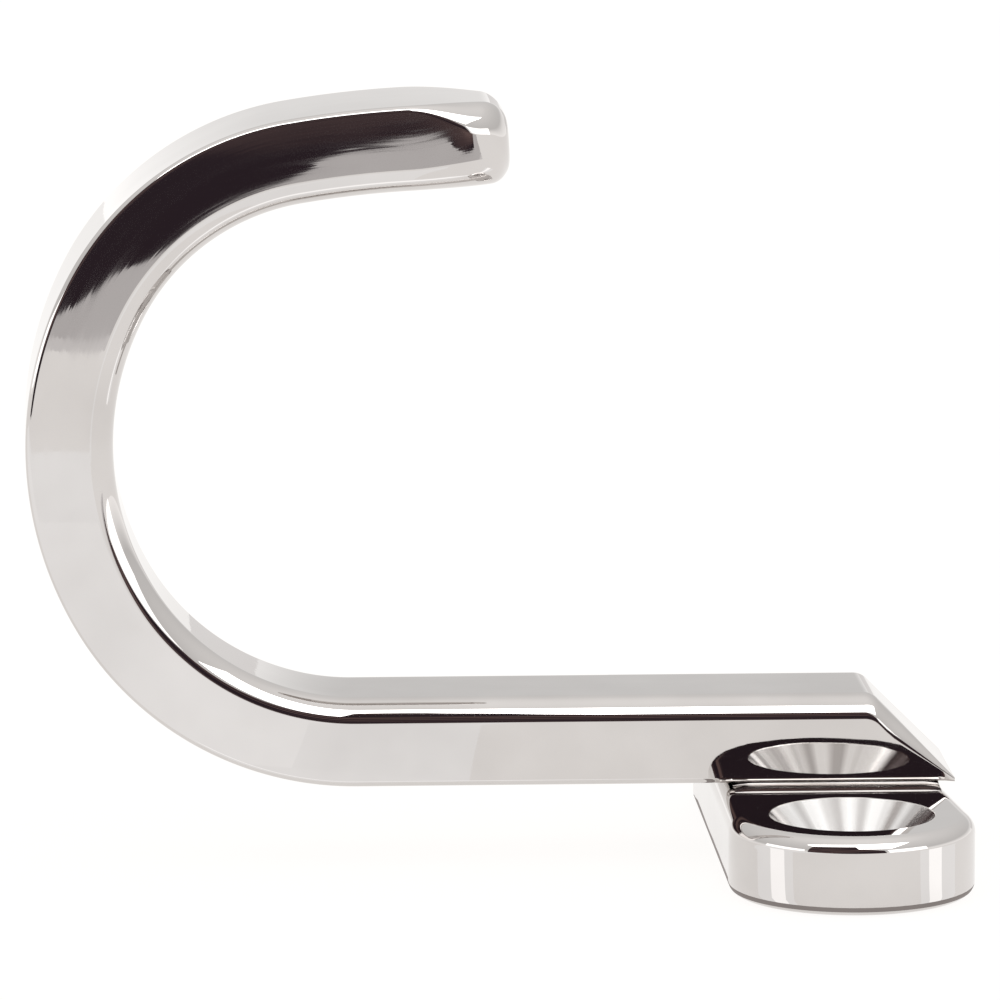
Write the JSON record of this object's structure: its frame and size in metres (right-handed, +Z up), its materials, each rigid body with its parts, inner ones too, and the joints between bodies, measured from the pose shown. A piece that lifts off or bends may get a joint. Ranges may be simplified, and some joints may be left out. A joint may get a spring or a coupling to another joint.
{
  "type": "open fairlead chock",
  "caption": "Flat stainless bar bent into an open hook on a screw-down foot, which leads a mooring or anchor line over a boat's deck.",
  "frame": {"origin": "middle of the foot's underside, on the deck, halfway between the two screw holes along Y and under the bar", "axes": "+Z up from the deck; +X along the bar from the hook's bend towards its end on the foot; Y along the foot, the front screw hole on -Y"},
  "size_m": [0.094, 0.0661, 0.0773],
  "materials": {
    "polished_steel": "mirror-polished 316 stainless steel",
    "weld_steel": "ground and polished stainless weld"
  },
  "bodies": {
    "root": {"hook_arm": "polished_steel", "mounting_foot": "polished_steel", "weld_bead_front": "weld_steel", "weld_bead_rear": "weld_steel"}
  },
  "joints": []
}
